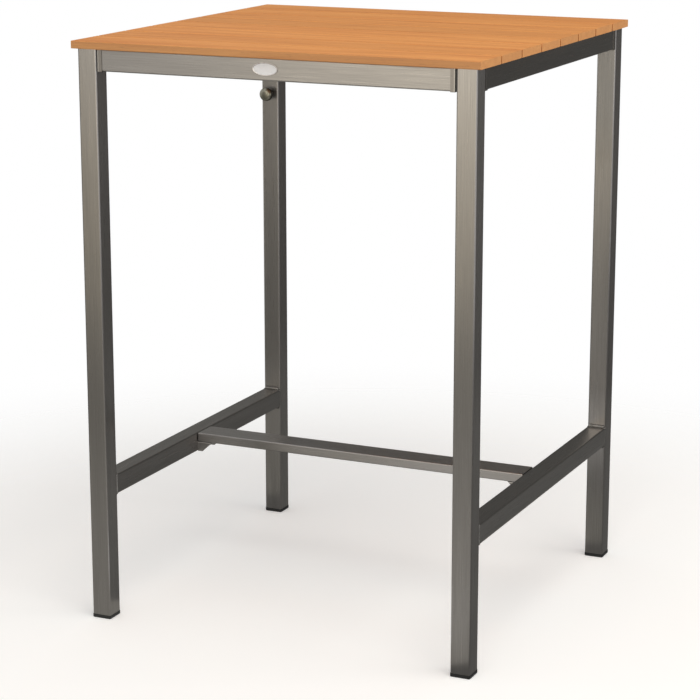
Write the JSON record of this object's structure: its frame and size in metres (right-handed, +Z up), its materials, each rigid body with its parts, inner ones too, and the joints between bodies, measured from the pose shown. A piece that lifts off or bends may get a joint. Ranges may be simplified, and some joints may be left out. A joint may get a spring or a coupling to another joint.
{
  "type": "pub table",
  "caption": "Bar-height square table: slatted wooden top on a bolted frame of brushed square metal tube, with side rails, a low crossbar and a bag knob.",
  "frame": {"origin": "on the floor under the middle of the top", "axes": "+X to the right along the front, +Y to the back, +Z up"},
  "size_m": [0.792, 0.792, 1.1],
  "materials": {
    "frame_steel": "brushed along the tube",
    "cap_metal": "satin",
    "weld_metal": "as welded and cleaned",
    "bolt_steel": "plain stainless",
    "slat_wood": "oiled teak",
    "batten_wood": "planed, unoiled",
    "black_nylon": "moulded",
    "knob_metal": "dark satin"
  },
  "bodies": {
    "root": {"apron_back": "frame_steel", "apron_bolts": "bolt_steel", "apron_cap_back_left": "cap_metal", "apron_cap_back_right": "cap_metal", "apron_cap_front_left": "cap_metal", "apron_cap_front_right": "cap_metal", "apron_cap_left_back": "cap_metal", "apron_cap_left_front": "cap_metal", "apron_cap_right_back": "cap_metal", "apron_cap_right_front": "cap_metal", "apron_front": "frame_steel", "apron_left": "frame_steel", "apron_right": "frame_steel", "bag_knob": "knob_metal", "batten_1": "batten_wood", "batten_2": "batten_wood", "batten_3": "batten_wood", "crossbar": "frame_steel", "crossbar_bolts": "bolt_steel", "crossbar_bracket_left": "frame_steel", "crossbar_bracket_right": "frame_steel", "glide_back_left": "black_nylon", "glide_back_right": "black_nylon", "glide_front_left": "black_nylon", "glide_front_right": "black_nylon", "joint_spacers": "black_nylon", "leg_back_left": "frame_steel", "leg_back_right": "frame_steel", "leg_front_left": "frame_steel", "leg_front_right": "frame_steel", "rail_welds_left": "weld_metal", "rail_welds_right": "weld_metal", "side_rail_left": "frame_steel", "side_rail_right": "frame_steel", "slat_1": "slat_wood", "slat_2": "slat_wood", "slat_3": "slat_wood", "slat_4": "slat_wood", "slat_5": "slat_wood", "slat_6": "slat_wood", "slat_7": "slat_wood", "slat_8": "slat_wood", "top_angles": "bolt_steel"}
  },
  "joints": []
}
